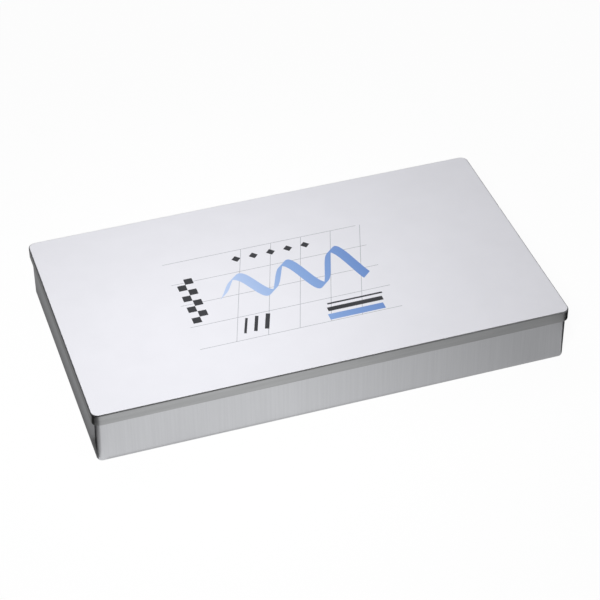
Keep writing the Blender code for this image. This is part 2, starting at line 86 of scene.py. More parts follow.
def softened(points, radius, closed=False, steps=4):
    """A line whose corners are eased by a curve.

    Each corner P gives way to (1-t)^2 A + 2t(1-t) P + t^2 B, for t from 0 to 1, where A and B lie
    on its two sides at the radius from P, or at 0.45 of the side where that is nearer.
    """
    points = np.asarray(points, float)
    before, after = neighbours(points, closed)
    back, ahead = before - points, after - points
    back_length = np.linalg.norm(back, axis=1, keepdims=True)
    ahead_length = np.linalg.norm(ahead, axis=1, keepdims=True)
    start = points + back * np.minimum(radius / np.maximum(back_length, 1e-9), 0.45)
    end = points + ahead * np.minimum(radius / np.maximum(ahead_length, 1e-9), 0.45)
    t = np.linspace(0, 1, steps + 1)[None, :, None]
    curve = (1 - t) ** 2 * start[:, None] + 2 * t * (1 - t) * points[:, None] + t ** 2 * end[:, None]
    if closed:
        return curve.reshape(-1, points.shape[1])
    return np.vstack([points[:1], curve[1:-1].reshape(-1, points.shape[1]), points[-1:]])


def supported(points, margin, closed=False):
    """A line with two more points on each long side, at a margin from its ends.

    They hold the smooth shading of a round edge off the flat beside it.
    """
    starts = points if closed else points[:-1]
    ends = np.roll(points, -1, 0) if closed else points[1:]
    length = np.linalg.norm(ends - starts, axis=1)
    step = (ends - starts) * (margin / np.maximum(length, 1e-9))[:, None]
    three = np.stack([starts, starts + step, ends - step], 1)
    is_long = length > 3 * margin
    kept = np.stack([np.ones_like(is_long), is_long, is_long], 1)
    return three[kept] if closed else np.vstack([three[kept], points[-1:]])


def rounded_rings(length, width, radius, height, corner_steps=10):
    """Rings round a rectangle with round corners, one for each row of the four arrays.

    A point is the corner's centre, half the size less the radius along each axis with the corner's
    signs, plus the radius times (cosine, sine) of an angle that turns with the corner.  Each straight
    side then runs between its two corners in fixed shares of the way.
    """
    length, width, radius, height = (np.atleast_1d(row)[:, None] for row in (length, width, radius, height))
    quarter = np.repeat(np.arange(4), corner_steps + 1)
    angle = np.pi / 2 * (quarter + np.tile(np.linspace(0, 1, corner_steps + 1), 4))
    x = np.where(np.isin(quarter, (0, 3)), 1, -1) * (length / 2 - radius) + radius * np.cos(angle)
    y = np.where(quarter < 2, 1, -1) * (width / 2 - radius) + radius * np.sin(angle)
    corners = np.stack([x, y, np.broadcast_to(height, x.shape)], 2)
    corners = corners.reshape(len(x), 4, corner_steps + 1, 3)
    share = np.array([0.004, 0.2, 0.4, 0.6, 0.8, 0.996])[:, None]
    start, end = corners[:, :, -1:], np.roll(corners[:, :, :1], -1, 1)
    sides = start * (1 - share) + end * share
    return np.concatenate([corners, sides], 2).reshape(len(x), -1, 3)


def quads(grid, closed_rows=False):
    """Four corner indices of each face of a grid whose columns join up, as its rows may too."""
    index = np.arange(grid.shape[0] * grid.shape[1]).reshape(grid.shape[:2])
    if closed_rows:
        index = np.vstack([index, index[:1]])
    beside = np.roll(index, -1, 1)
    return np.stack([index[:-1], beside[:-1], beside[1:], index[1:]], 2).reshape(-1, 4)


def capped(grid, both_ends=True):
    """The faces of such a grid and one over its last row, and over its first if both ends are shut."""
    across = grid.shape[1]
    count = grid.shape[0] * across
    first = [list(range(across))] if both_ends else []
    return quads(grid).tolist() + first + [list(range(count - across, count))]


def wrapped_uv(grid, closed_rows=False):
    """Millimetres along the columns and the rows for each face corner of such a grid.

    Both are sums of the distances between neighbours, along the middle row and the first column.
    """
    rows = np.vstack([grid, grid[:1]]) if closed_rows else grid
    middle = rows[len(rows) // 2]
    u = np.cumsum(np.linalg.norm(np.vstack([middle, middle[:1]])[1:] - middle, axis=1))
    v = np.cumsum(np.linalg.norm(np.diff(rows[:, 0], axis=0), axis=1))
    u, v = np.meshgrid(np.append(0, u), np.append(0, v))
    uv = np.stack([u, v], 2)
    return np.stack([uv[:-1, :-1], uv[:-1, 1:], uv[1:, 1:], uv[1:, :-1]], 2).reshape(-1, 2)


def add_piece(name, points, faces, materials, body, replaces=(), uv=None, face_materials=None,
              crease=35):
    """Puts points in millimetres and their faces into a mesh whose object sits at the origin.

    Doubled points merge, which closes seams and poles, and the normals are turned outwards.
    """
    mesh = bpy.data.meshes.new(name)
    mesh.from_pydata((np.asarray(points).reshape(-1, 3) / 1000).tolist(), [], faces)
    if face_materials is not None:
        mesh.polygons.foreach_set("material_index", face_materials)
    if uv is not None:
        layer = mesh.uv_layers.new(name="along")
        layer.uv.foreach_set("vector", np.asarray(uv, np.float32).ravel() / 1000)
    shell = bmesh.new()
    shell.from_mesh(mesh)
    bmesh.ops.remove_doubles(shell, verts=shell.verts, dist=MERGE_METRES)
    bmesh.ops.recalc_face_normals(shell, faces=shell.faces)
    shell.to_mesh(mesh)
    shell.free()
    mesh.shade_smooth()
    mesh.set_sharp_from_angle(angle=math.radians(crease))
    for material in materials:
        mesh.materials.append(material)
    piece = bpy.data.objects.new(name, mesh)
    bpy.context.scene.collection.objects.link(piece)
    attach(piece, body)
    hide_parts(*replaces)
    return piece


def linear(colour):
    """An sRGB hex colour as the linear RGBA that a shader takes."""
    channels = np.array([int(colour[place:place + 2], 16) for place in (1, 3, 5)]) / 255
    low, high = channels / 12.92, ((channels + 0.055) / 1.055) ** 2.4
    return (*np.where(channels <= 0.04045, low, high).tolist(), 1.0)


def new_material(name):
    """An empty node material and its tree."""
    material = bpy.data.materials.new(name)
    material.use_nodes = True
    material.node_tree.nodes.clear()
    return material, material.node_tree


def stops(colours, start=0.3, end=0.7):
    """Stops of a colour ramp: hex colours made linear, spaced evenly from one factor to another."""
    return [*zip(np.linspace(start, end, len(colours)), map(linear, colours))]


def add_node(tree, kind, inputs=(), **settings):
    """Adds a node with its properties as settings; that of a colour ramp is its stops.

    Each input is a value for its socket, or what links to it: a socket, or a node's first output.
    """
    node = tree.nodes.new(f"ShaderNode{kind}")
    for key, value in settings.items():
        if key == "color_ramp":
            elements = node.color_ramp.elements
            for _ in value[2:]:
                elements.new(0.5)
            for element, (place, colour) in zip(elements, value):
                element.position, element.color = place, colour
        else:
            setattr(node, key, value)
    for key, value in dict(inputs).items():
        if isinstance(value, bpy.types.Node):
            value = value.outputs[0]
        if isinstance(value, bpy.types.NodeSocket):
            tree.links.new(value, node.inputs[key])
        else:
            node.inputs[key].default_value = value
    return node


def pattern(tree, kind, place, size_mm, inputs=(), **settings):
    """A texture of a kind whose unit is a size in millimetres, or one along each axis."""
    scale = (1000 / np.broadcast_to(size_mm, 3)).tolist()
    sized = add_node(tree, "Mapping", {"Vector": place, "Scale": scale})
    return add_node(tree, kind, {"Vector": sized, "Scale": 1.0, **dict(inputs)}, **settings)


def surfaced(material, colour, wear, roughness, relief, strength, relief_mm, others, worn=(0.3, 0.7)):
    """The material with its surface joined up from a colour, a wear and a relief.

    Its roughness goes from a low to a high value as the wear goes through its range, and its relief is
    a bump of a strength and a height in millimetres.
    """
    tree = material.node_tree
    dullness = add_node(tree, "MapRange", {
        "Value": wear, "From Min": worn[0], "From Max": worn[1],
        "To Min": roughness[0], "To Max": roughness[1]})
    bump = add_node(tree, "Bump", {"Height": relief, "Strength": strength, "Distance": relief_mm / 1000})
    shader = add_node(tree, "BsdfPrincipled", {
        "Base Color": colour, "Roughness": dullness, "Normal": bump, **others})
    add_node(tree, "OutputMaterial", {"Surface": shader})
    return material


def brushed_tinplate(name, scratch_mm, band_mm, colours, roughness):
    """Tin-plated steel, brushed with a fine abrasive belt and clear lacquered.

    The scratches are a noise drawn out along the brushing, on the piece's own map in millimetres.
    They are drawn a fifth of a millimetre wide, where the real ones are a twentieth, so as to show.
    The eye gets a soft grey metal whose highlights smear across the scratches.
    """
    material, tree = new_material(name)
    place = add_node(tree, "UVMap", uv_map="along")
    scratches = pattern(tree, "TexNoise", place, scratch_mm, {"Detail": 4.0, "Roughness": 0.65})
    bands = pattern(tree, "TexNoise", place, band_mm, {"Detail": 2.0})
    both = add_node(tree, "Math", {0: scratches, 1: bands}, operation="ADD")
    level = add_node(tree, "MapRange", {
        "Value": both, "From Min": 0.7, "From Max": 1.3, "To Min": 0.3, "To Max": 0.7})
    colour = add_node(tree, "ValToRGB", {"Fac": level}, color_ramp=stops(colours))
    return surfaced(material, colour, scratches, (roughness - 0.05, roughness + 0.07),
                    scratches, 0.2, 0.012, {"Metallic": 1.0})


def roll_turn(radius):
    """Degrees that a rolled edge turns until it meets the inside of its own sheet."""
    return 360 - math.degrees(math.acos((radius - SHEET) / radius))


def add_drawn_sheet(name, section, length, width, material, body, node):
    """A drawn sheet: each row of its section, inset, height and corner, is a ring round the tin."""
    inset, height, corner = section.T
    rings = rounded_rings(length - 2 * inset, width - 2 * inset, corner, height)
    uv = np.vstack([wrapped_uv(rings), rings[0, :, :2], rings[-1, :, :2]])
    add_piece(name, rings, capped(rings), [material], body, [node], uv)


upright_tinplate = brushed_tinplate(
    "tinplate_brushed_upright", (0.16, 14, 1), (0.7, 40, 1), TIN_GREYS, 0.38)

base_low, base_high = box_mm("tin_base")
base_length, base_width, rim_top = base_high - base_low * (1, 1, 0)
roll = RIM_ROLL / 2
foot = arc((FOOT_EDGE, FOOT_EDGE), FOOT_EDGE, 270, 180, 10)
rim = arc((roll, rim_top - roll), roll, 180, 180 - roll_turn(roll), 28)
foot_inside = arc((FOOT_EDGE, FOOT_EDGE), FOOT_EDGE - SHEET, 180, 270, 10)
wall = np.vstack([foot, rim, foot_inside])
wall = np.column_stack([wall, BASE_CORNER - wall[:, 0]])
step = np.array([
    (STANDING_BORDER, 0, PANEL_CORNER),
    (STANDING_BORDER + PANEL_RISE, PANEL_RISE, PANEL_CORNER),
    (STANDING_BORDER + PANEL_RISE + PANEL_START, PANEL_RISE, PANEL_CORNER),
])
underside = softened(np.vstack([step[::-1], wall[:1]]), PANEL_EASING)
floor_top = softened(np.vstack([wall[-1:], step + (0, SHEET, 0)]), PANEL_EASING)
tray = supported(np.vstack([underside, wall[1:-1], floor_top]), EDGE_MARGIN)
add_drawn_sheet("base_tray", tray, base_length, base_width, upright_tinplate, "base", "tin_base")

# Foam: two sheets of charcoal closed-cell foam that fill the base.  The backing sheet is plain, and
# the sheet glued on it is die cut right through for the pen, the nibs and the cartridges, with a
# round notch beside each pocket for a finger.
FOAM_CORNER = 3.0
FOAM_EDGE = 0.5
FOAM_MARGIN = 0.65
END_WALL = 10.1
POCKET_CORNER = 0.8
PEN_NOTCH = 14.0
NIB_NOTCH = 9.5
CARTRIDGE_NOTCH = 10.0
CORNER_STEPS = 8
NOTCH_STEPS = 30
PLAY = 0.5
GAP = 0.3
FOAM_GREYS = ("#3A3B3E", "#26272A")


def closed_cell_foam(name):
    """Closed-cell polyethylene foam, cut by a steel rule.

    Cells 0.7 mm across show on the skin and the cut as small dimples.  The colour darkens where their
    relief sinks, a painted shade in the hollows, and a cloud makes some cells darker than others.  The eye
    gets a dry, dark grey with no gloss but a faint sheen at a low angle.
    """
    material, tree = new_material(name)
    place = add_node(tree, "TexCoord").outputs["Object"]
    cells = pattern(tree, "TexVoronoi", place, 0.7, feature="SMOOTH_F1")
    cloud = pattern(tree, "TexNoise", place, 6, {"Detail": 5.0})
    # Painted shade: the tone follows the cells, so the colour darkens where the bump sinks; the cloud varies
    # it at random.
    cell_shade_and_tone = add_node(tree, "Math", {0: cells, 1: cloud, 2: 0.15}, operation="MULTIPLY_ADD")
    colour = add_node(tree, "ValToRGB", {"Fac": cell_shade_and_tone}, color_ramp=stops(FOAM_GREYS, 0.15, 0.6))
    bump = add_node(tree, "Bump", {"Height": cells, "Strength": 0.6, "Distance": 0.0002}, invert=True)
    shader = add_node(tree, "BsdfPrincipled", {
        "Base Color": colour, "Normal": bump, "Roughness": 0.92,
        "Sheen Weight": 0.25, "Sheen Roughness": 0.5, "Specular IOR Level": 0.25})
    add_node(tree, "OutputMaterial", {"Surface": shader})
    return material


def pocket_corners(x, y, length, width, corner):
    """The four round corners of a pocket along X, anticlockwise from the lower right one."""
    right, left = x + length / 2 - corner, x - length / 2 + corner
    top, bottom = y + width / 2 - corner, y - width / 2 + corner
    centres = ((right, bottom), (right, top), (left, top), (left, bottom))
    return [arc(centre, corner, turn, turn + 90, CORNER_STEPS)
            for centre, turn in zip(centres, (-90, 0, 90, 180))]


def notched_pocket(x, y, length, width, corner, notch_x, notch):
    """Outline of a pocket along X with a round notch through both of its long sides, anticlockwise.

    The notch's circle meets a side at the angle whose sine is half the width over the radius.
    """
    meets = math.degrees(math.asin(width / 2 / notch))
    lower_right, upper_right, upper_left, lower_left = pocket_corners(x, y, length, width, corner)
    return np.vstack([
        lower_right, upper_right, arc((notch_x, y), notch, meets, 180 - meets, NOTCH_STEPS),
        upper_left, lower_left, arc((notch_x, y), notch, 180 + meets, 360 - meets, NOTCH_STEPS)])


def end_notched_pocket(x, y, length, width, corner, notch):
    """Outline of a pocket with a round notch in the middle of its right end, anticlockwise."""
    lower_right, *others = pocket_corners(x, y, length, width, corner)
    return np.vstack([lower_right, arc((x + length / 2, y), notch, -90, 90, NOTCH_STEPS), *others])


def pocket_round(low, high):
    """Centre, length, width and corner of the pocket for what lies between two corners of a box."""
    size = high - low + (2 * PLAY, 2 * GAP, 0)
    return *(low + high)[:2] / 2, *size[:2], POCKET_CORNER


def moved_out(outline, distance):
    """A closed line moved outwards, so that each side keeps its direction.

    A corner moves by the distance times (a + b) / (1 + a.b), where a and b are its two sides' normals.
    """
    side = neighbours(outline, True)[1] - outline
    b = np.stack([side[:, 1], -side[:, 0]], 1) / np.linalg.norm(side, axis=1, keepdims=True)
    a = neighbours(b, True)[0]
    return outline + distance * (a + b) / (1 + (a * b).sum(1, keepdims=True))


def filled(loops, height, keep):
    """Triangles that fill flat loops at a height; keep chooses a triangle by the loops that it lies in."""
    points = np.vstack(loops)
    first = np.cumsum([0] + [len(loop) for loop in loops])
    faces = [list(range(start, end)) for start, end in zip(first, first[1:])]
    flat, _, triangles, _, _, inside = delaunay_2d_cdt(
        [Vector(point) for point in points], [], faces, 1, 1e-6)
    kept = [(triangle, loops_in) for triangle, loops_in in zip(triangles, inside) if keep(loops_in)]
    corners = np.array([point[:] for point in flat])
    raised = np.column_stack([corners, np.full(len(corners), height)])
    return raised, [list(triangle) for triangle, _ in kept], [loops_in for _, loops_in in kept]


def cut_sheet(outline, holes, bottom, top, edge):
    """A flat sheet with cut-outs whose upper edges are eased by the cutting.

    The walls follow each loop upwards, then move out of the hole, or in from the outer edge, along a
    quarter circle; flat faces fill what is left between the loops.
    """
    ease = arc((0, top - edge), edge, 0, 90, 5)
    rows = [(0.0, bottom)] + [(edge - out, height) for out, height in ease]
    parts, faces, count = [], [], 0
    for loop, side in [(outline, -1)] + [(hole, 1) for hole in holes]:
        walls = np.stack([np.column_stack([moved_out(loop, side * out), np.full(len(loop), height)])
                          for out, height in rows])
        parts.append(walls.reshape(-1, 3))
        faces += (quads(walls) + count).tolist()
        count += walls[..., 0].size
    for height, out in ((bottom, 0.0), (top, edge)):
        loops = [moved_out(outline, -out)] + [moved_out(hole, out) for hole in holes]
        points, triangles, _ = filled(loops, height, lambda loops_in: loops_in == [0])
        parts.append(points)
        faces += [[corner + count for corner in triangle] for triangle in triangles]
        count += len(points)
    return np.vstack(parts), faces


charcoal_foam = closed_cell_foam("polyethylene_foam_die_cut")

cut_low, cut_high = box_mm("foam_insert")
foam_length, foam_width, _ = cut_high - cut_low
foam_outline = rounded_rings(foam_length, foam_width, FOAM_CORNER, 0.0)[0, :, :2]
pen_low, pen_high = box_mm("pen_cap")
pen_y = (pen_low + pen_high)[1] / 2
tail_x, mouth_x = box_mm("pen_barrel")[:, 0]
slot_half = (pen_high - pen_low)[1] / 2 + GAP
slot_x = cut_high[0] - END_WALL
nib_boxes = [box_mm(node) for node in ("narrow_nib", "broad_nib")]
ink_low = box_mm("spare_cartridge_1")[0]
ink_high = box_mm("spare_cartridge_5")[1]
pen_pocket = notched_pocket(
    0, pen_y, 2 * slot_x, 2 * slot_half, slot_half - 0.01, (tail_x + mouth_x) / 2, PEN_NOTCH)
nib_pockets = [notched_pocket(*pocket_round(low, high), (low + high)[0] / 2, NIB_NOTCH)
               for low, high in nib_boxes]
ink_pocket = end_notched_pocket(*pocket_round(ink_low, ink_high), CARTRIDGE_NOTCH)
pockets = [supported(pocket, FOAM_MARGIN, closed=True) for pocket in [pen_pocket, *nib_pockets, ink_pocket]]
for name, holes, node in (("foam_backing", [], "foam_pad"), ("foam_cut_out", pockets, "foam_insert")):
    low, high = box_mm(node)
    sheet, faces = cut_sheet(foam_outline, holes, low[2], high[2], FOAM_EDGE)
    foam = add_piece(name, sheet, faces, [charcoal_foam], "insert", [node])

# Spare cartridges: five moulded polypropylene tubes of blue ink, welded shut at the back, each with
# a thin seal in the end of its neck.  They lie side by side in their pocket.
CARTRIDGE_RADIUS = 3.5
CARTRIDGE_NECK_RADIUS = 2.6
CARTRIDGE_NECK = 5.0
CARTRIDGE_SHOULDER = 1.2
CARTRIDGE_WALL = 0.6
SEAL_DEPTH = 0.4
SPARE_CARTRIDGES = 5
INK_BLUES = ("#1C3E9E", "#2A4FAF")
CLEAR_NECK = "#A9BEDD"


def add_turned(name, profile, origin, material, body, node, easing=0.2, margin=0.12, steps=64,
               carving=None):
    """Adds a body of revolution about X, with the corners of its profile eased.

    A profile point (x, r) becomes (x, r cos a, r sin a) for each angle a.  A profile that starts on the
    axis ends on it, and any other is closed round a bore.  A carving gives the depth that r then loses.
    """
    closed = profile[0][1] > 0
    angle = np.linspace(0, 2 * np.pi, steps, endpoint=False)
    x, r = supported(softened(profile, easing, closed), margin, closed).T[:, :, None]
    x, y, z = x + 0 * angle, r * np.cos(angle), r * np.sin(angle)
    if carving:
        radius = np.maximum(np.hypot(y, z), 0.001)
        left = 1 - carving(x, y, z, radius) / radius
        y, z = y * left, z * left
    grid = np.stack([x, y, z], 2) + origin
    uv = wrapped_uv(grid, closed)
    return add_piece(name, grid, quads(grid, closed).tolist(), [material], body, [node], uv)


def ink_filled_plastic(name, shoulder_x):
    """Polypropylene, blow moulded and full of blue ink.

    The wall is thin and milky, so the eye gets deep blue with a soft gloss, a little lighter in soft
    random clouds, and a pale neck past the shoulder.
    """
    material, tree = new_material(name)
    place = add_node(tree, "TexCoord").outputs["Object"]
    cloud, grain = (pattern(tree, "TexNoise", place, size, {"Detail": 2.0}) for size in ((12, 5, 5), 0.3))
    past = add_node(tree, "MapRange", {
        "Value": add_node(tree, "SeparateXYZ", {"Vector": place}).outputs["X"],
        "From Min": (shoulder_x - 0.6) / 1000, "From Max": (shoulder_x + 1.6) / 1000})
    ink = add_node(tree, "ValToRGB", {"Fac": cloud}, color_ramp=stops(INK_BLUES, 0.35, 0.7))
    colour = add_node(tree, "Mix", {0: past, 6: ink, 7: linear(CLEAR_NECK)}, data_type="RGBA")
    return surfaced(material, colour.outputs[2], cloud, (0.22, 0.36), grain, 0.2, 0.02, {
        "IOR": 1.49, "Subsurface Weight": 0.15, "Subsurface Scale": 0.001}, worn=(0.0, 1.0))


def stepped(places, radii):
    """A stepped half section: at each place along X the radius goes from one value to the next."""
    return np.column_stack([np.repeat(places, 2), np.repeat(radii, 2)[1:-1]])


def cartridge_profile(length, mouth, stop):
    """Half section of a cartridge: its closed back, its shoulder at x = 0, and its mouth up to a stop."""
    return np.vstack([
        [(CARTRIDGE_NECK - length, 0), (CARTRIDGE_NECK - length, CARTRIDGE_RADIUS),
         (-CARTRIDGE_SHOULDER, CARTRIDGE_RADIUS), (0, CARTRIDGE_NECK_RADIUS)],
        stepped([CARTRIDGE_NECK, stop], [CARTRIDGE_NECK_RADIUS, mouth, 0])])


for number in range(1, SPARE_CARTRIDGES + 1):
    low, high = box_mm(f"spare_cartridge_{number}")
    shoulder = (high[0] - CARTRIDGE_NECK, *(low + high)[1:] / 2)
    plastic = ink_filled_plastic(f"polypropylene_blue_ink_{number}", shoulder[0])
    profile = cartridge_profile(
        (high - low)[0], CARTRIDGE_NECK_RADIUS - CARTRIDGE_WALL, CARTRIDGE_NECK - SEAL_DEPTH)
    add_turned(f"cartridge_tube_{number}", profile, shoulder, plastic, f"cartridge_{number}",
               f"spare_cartridge_{number}", easing=0.9)

# Nibs: broad-edged italic nibs, rolled from stainless sheet, ground square at the tip and split by a
# slit that ends in a breather hole.  Two spares lie in their pockets, and the third is on the pen.
NIB_SHEET = 0.3
NIB_RADIUS = 2.85
NIB_HEEL_ANGLE = math.radians(120)
NIB_SHOULDER_ANGLE = math.radians(75)
NIB_SHOULDER_SHARE = 0.48
NIB_FLATTENING = 0.9
NIB_TIP_HEIGHT = 0.5
NIB_SLOPE_POWER = 1.5
SLIT = 0.16
BREATHER_RADIUS = 0.6
BREATHER_X = 9.8
HEEL_ROWS, HOLE_ROWS, TIP_ROWS, HALF_COLUMNS = 22, 20, 30, 15
NIB_EASING = 0.05
TIP_WIDTHS = {"narrow": 1.1, "medium": 1.5, "broad": 1.9}
STEEL_GREYS = ("#A9ABAE", "#C9CACC")


def polished_steel(name, scratch_mm, colours, roughness):
    """Stainless sheet, barrel polished: bright, with hairline scratches along its length.

    The hairlines are drawn 0.15 mm wide, some three times too wide, so as to show.
    """
    material, tree = new_material(name)
    place = add_node(tree, "TexCoord").outputs["Object"]
    hairlines, smudges = (pattern(tree, "TexNoise", place, size, {"Detail": 3.0}) for size in (scratch_mm, 5))
    colour = add_node(tree, "ValToRGB", {"Fac": hairlines}, color_ramp=stops(colours))
    return surfaced(material, colour, smudges, (roughness, roughness + 0.1),
                    hairlines, 0.2, 0.02, {"Metallic": 1.0})


def nib_grid(length, tip_width):
    """Half of a nib's middle surface, from its centre line (column 0) to its edge.

    Row by row along X the sheet is an arc about the feed.  The half arc is the radius times an angle
    that falls from heel to shoulder, then shrinks in a straight line to half the tip's width.  The
    arc's radius grows as it flattens, and its crown comes down to the tip with a power of the way.
    Column 0 keeps clear of the slit, and goes round the breather hole, by the root of R^2 - d^2.
    """
    reach = np.sqrt(BREATHER_RADIUS ** 2 - (SLIT / 2) ** 2)
    round_hole = BREATHER_X - BREATHER_RADIUS * np.cos(np.linspace(0, np.pi, HOLE_ROWS))
    x = np.concatenate([
        np.linspace(0, BREATHER_X - BREATHER_RADIUS, HEEL_ROWS)[:-1],
        round_hole[round_hole < BREATHER_X + reach],
        np.linspace(BREATHER_X + reach, length, TIP_ROWS),
    ])[:, None]
    way = x / length
    to_shoulder = np.minimum(way / NIB_SHOULDER_SHARE, 1)
    past_shoulder = np.maximum(way - NIB_SHOULDER_SHARE, 0) / (1 - NIB_SHOULDER_SHARE)
    angle = NIB_HEEL_ANGLE + (NIB_SHOULDER_ANGLE - NIB_HEEL_ANGLE) * to_shoulder
    half_arc = NIB_RADIUS * angle * (1 - past_shoulder) + tip_width / 2 * past_shoulder
    radius = NIB_RADIUS / (1 - NIB_FLATTENING * past_shoulder)
    crown = NIB_RADIUS - (NIB_RADIUS - NIB_TIP_HEIGHT) * past_shoulder ** NIB_SLOPE_POWER
    hole = np.sqrt(np.maximum(BREATHER_RADIUS ** 2 - (x - BREATHER_X) ** 2, 0))
    inner = np.where(x < BREATHER_X, hole, np.maximum(hole, SLIT / 2))
    start = np.arcsin(inner / radius)
    turn = start + (half_arc / radius - start) * np.linspace(0, 1, HALF_COLUMNS)
    return np.stack([x + 0 * turn, radius * np.sin(turn), crown - radius * (1 - np.cos(turn))], 2)


def add_nib(name, width, origin, body):
    """Mirrors the half nib, thickens it to the sheet and eases its edges."""
    node = f"{width}_nib"
    half = nib_grid((box_mm(node)[1] - box_mm(node)[0])[0], TIP_WIDTHS[width])
    rows, columns = half.shape[:2]
    one = quads(half).reshape(rows - 1, columns, 4)[:, :-1].reshape(-1, 4)
    points = np.stack([half, half[:, ::-1] * (1, -1, 1)]) + origin
    faces = np.vstack([one, one + rows * columns]).tolist()
    nib = add_piece(name, points, faces, [nib_steel], body, [node], crease=60)
    thickness = nib.modifiers.new("sheet", "SOLIDIFY")
    thickness.thickness = NIB_SHEET / 1000
    thickness.offset = 0
    edge = nib.modifiers.new("tumbled_edge", "BEVEL")
    edge.width = NIB_EASING / 1000
    edge.segments = 2
    edge.limit_method = "ANGLE"
    return nib


nib_steel = polished_steel("stainless_steel_polished", (6, 0.15, 0.15), STEEL_GREYS, 0.16)
for width in ("narrow", "broad"):
    low, high = box_mm(f"{width}_nib")
    heel = (low[0], (low + high)[1] / 2, high[2] - NIB_RADIUS - NIB_SHEET / 2)
    add_nib(f"nib_{width}_spare", width, heel, f"{width}_spare")

# Pen barrel: a tapered tube of black plastic, injection moulded and polished, closed at the tail.
# Its bore takes the thread of the grip and the fitted cartridge.  All of the pen's pieces are placed
# by x from the barrel's mouth towards the nib, and r from the pen's axis.
BARREL_RADIUS = 6.0
TAIL_RADIUS = 4.2
TAIL_ROUNDING = 1.5
MOUTH_CHAMFER = 0.3
THREAD_BORE, THREAD_BORE_END = 4.35, -9.3
INK_BORE, INK_BORE_END = 3.8, -51.3
TAIL_BORE = 3.0
PEN_BLACKS = ("#141517", "#1E2024")


def moulded_plastic(name, colours, grain_mm, depth_mm, roughness, coat=0.0):
    """ABS, injection moulded: the grain of the mould gives its gloss.

    The eye gets an even tone, clouded a little by handling, with the grain in its highlights.
    """
    material, tree = new_material(name)
    place = add_node(tree, "TexCoord").outputs["Object"]
    cloud, grain = (pattern(tree, "TexNoise", place, size, {"Detail": detail})
                    for size, detail in ((9, 4.0), (grain_mm, 3.0)))
    colour = add_node(tree, "ValToRGB", {"Fac": cloud}, color_ramp=stops(colours))
    return surfaced(material, colour, cloud, (roughness - 0.03, roughness + 0.06),
                    grain, 0.3, depth_mm, {"IOR": 1.53, "Coat Weight": coat, "Coat Roughness": 0.05})


barrel_low, barrel_high = box_mm("pen_barrel")
pen = np.array([barrel_high[0], *(barrel_low + barrel_high)[1:] / 2])
barrel_length = barrel_high[0] - barrel_low[0]
black_abs = moulded_plastic("abs_polished_black", PEN_BLACKS, 0.4, 0.01, 0.16, 0.3)
tail_end = TAIL_ROUNDING - barrel_length
barrel_profile = np.vstack([
    [(-barrel_length, 0)], arc((tail_end, TAIL_RADIUS - TAIL_ROUNDING), TAIL_ROUNDING, 180, 90, 8),
    np.linspace((tail_end, TAIL_RADIUS), (-MOUTH_CHAMFER, BARREL_RADIUS), 20),
    [(-MOUTH_CHAMFER, BARREL_RADIUS)],
    stepped([0, THREAD_BORE_END], [BARREL_RADIUS - MOUTH_CHAMFER, THREAD_BORE, INK_BORE]),
    [(INK_BORE_END, INK_BORE), (tail_end, TAIL_BORE), (tail_end, 0)]])
add_turned("barrel_tube", barrel_profile, pen, black_abs, "barrel", "pen_barrel", easing=0.25)

# Trim ring: a loose ring of nickel-plated brass between the barrel and the grip, turned and
# polished, with a fine groove round its middle.
RING_START, RING_END = 0.3, 2.3
RING_RADIUS = 6.4
RING_GROOVE = [(1.1, RING_RADIUS), (1.15, 6.2), (1.45, 6.2), (1.5, RING_RADIUS)]
NICKEL_GREYS = ("#C4C2BE", "#D6D4D0")
plated_brass = polished_steel("nickel_plate_polished", (0.1, 6, 6), NICKEL_GREYS, 0.08)
ring_profile = [(RING_START, THREAD_BORE), (RING_START, RING_RADIUS), *RING_GROOVE,
                (RING_END, RING_RADIUS), (RING_END, THREAD_BORE)]
add_turned("ring_band", ring_profile, pen, plated_brass, "ring", "trim_ring")

# Grip: the moulded front of the pen, matt black and waisted for the fingers.  Its threaded neck goes
# into the barrel, and its bores hold the feed in front and the cartridge behind.
NECK_RADIUS = 4.05
NECK_END = -9
NECK_RELIEF, RELIEF_START, RELIEF_END = 0.2, 0, 2.4
THREAD_START, THREAD_END = -8.8, -0.6
THREAD_PITCH = 1.0
THREAD_DEPTH = 0.28
THREAD_RUN_OUT = 1.2
THREAD_ROWS, ROWS_START = 90, -8.6
WAIST_X, WAIST_RADII = [2.6, 12.9, 23.2, 29.5, 33.4], [5.5, 5.06, 4.72, 4.86, 5.1]
LIP_END, LIP_RADIUS = 34.6, 5.1
FEED_BORE, FEED_BORE_END = 3.0, 10.0
STEM_BORE, STEM_BORE_END = 1.5, -4.0
NECK_BORE = 2.9
GRIP_BLACKS = ("#17181A", "#222326")
matt_abs = moulded_plastic("abs_matt_black", GRIP_BLACKS, 0.25, 0.03, 0.5)
grip_x = np.linspace(WAIST_X[0], WAIST_X[-1], 30)
relief = NECK_RADIUS - NECK_RELIEF
grip_profile = np.vstack([
    [(NECK_END, NECK_BORE), (NECK_END, NECK_RADIUS)],
    np.linspace((ROWS_START, NECK_RADIUS), (THREAD_END, NECK_RADIUS), THREAD_ROWS),
    [(RELIEF_START, relief), (RELIEF_END, relief), (WAIST_X[0], NECK_RADIUS)],
    np.column_stack([grip_x, np.interp(grip_x, WAIST_X, WAIST_RADII)]),
    stepped([LIP_END, FEED_BORE_END, STEM_BORE_END], [LIP_RADIUS, FEED_BORE, STEM_BORE, NECK_BORE])])


def thread(x, y, z, radius):
    """Depth of the thread on the outside of the neck.

    It is a triangle wave of the winding, x over the pitch less the turn about X, and it fades in and
    out in a straight line.
    """
    winding = x / THREAD_PITCH - np.arctan2(z, y) / (2 * np.pi)
    tooth = np.abs(2 * (winding - np.floor(winding)) - 1)
    run_in, run_out = (np.clip(way / THREAD_RUN_OUT, 0, 1) for way in (x - THREAD_START, THREAD_END - x))
    return THREAD_DEPTH * tooth * run_in * run_out * (radius > NECK_RADIUS - 0.05)


add_turned("grip_moulding", grip_profile, pen, matt_abs, "pen", "grip_section",
           easing=0.25, steps=72, carving=thread)

